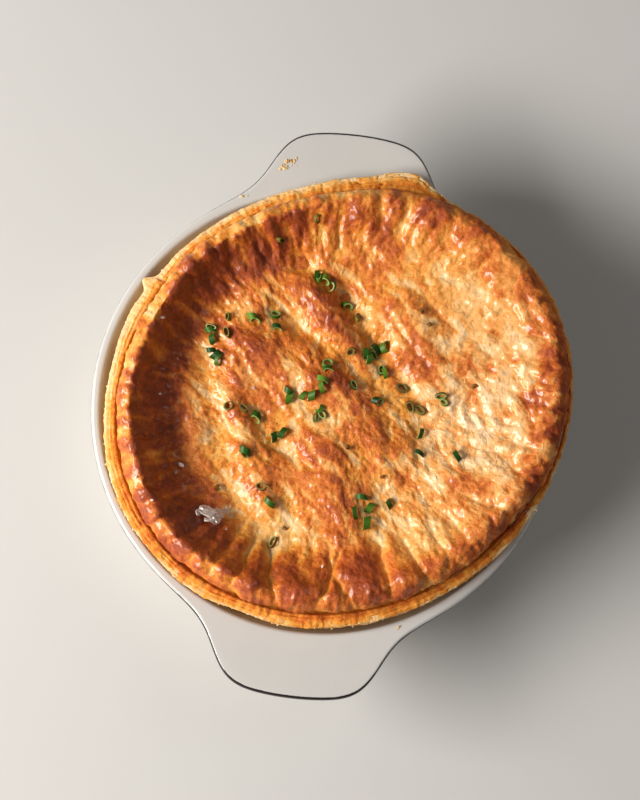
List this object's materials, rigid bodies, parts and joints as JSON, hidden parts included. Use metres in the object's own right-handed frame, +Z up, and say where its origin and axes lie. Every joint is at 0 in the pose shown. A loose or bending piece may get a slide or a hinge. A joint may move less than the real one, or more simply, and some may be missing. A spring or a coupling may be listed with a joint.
{
  "type": "chicken pot pie in a round handled dish",
  "caption": "Uncut pot pie with a sunken, puffed and browned pastry lid, baked in a round white enamelled dish with flat tab handles.",
  "frame": {"origin": "centre of the dish's flat underside, which is the centre of its round body", "axes": "+Z up, +Y and -Y along the two tab handles, +X to the right of the shown view"},
  "size_m": [0.1624, 0.1972, 0.0553],
  "materials": {
    "white_enamel": "glossy white vitreous enamel on cast iron, dark line at the outer edge",
    "baked_pastry": "egg-washed puff pastry, golden to deep brown, satin gloss"
  },
  "bodies": {
    "root": {"dish": "white_enamel", "pie": "baked_pastry"}
  },
  "joints": []
}
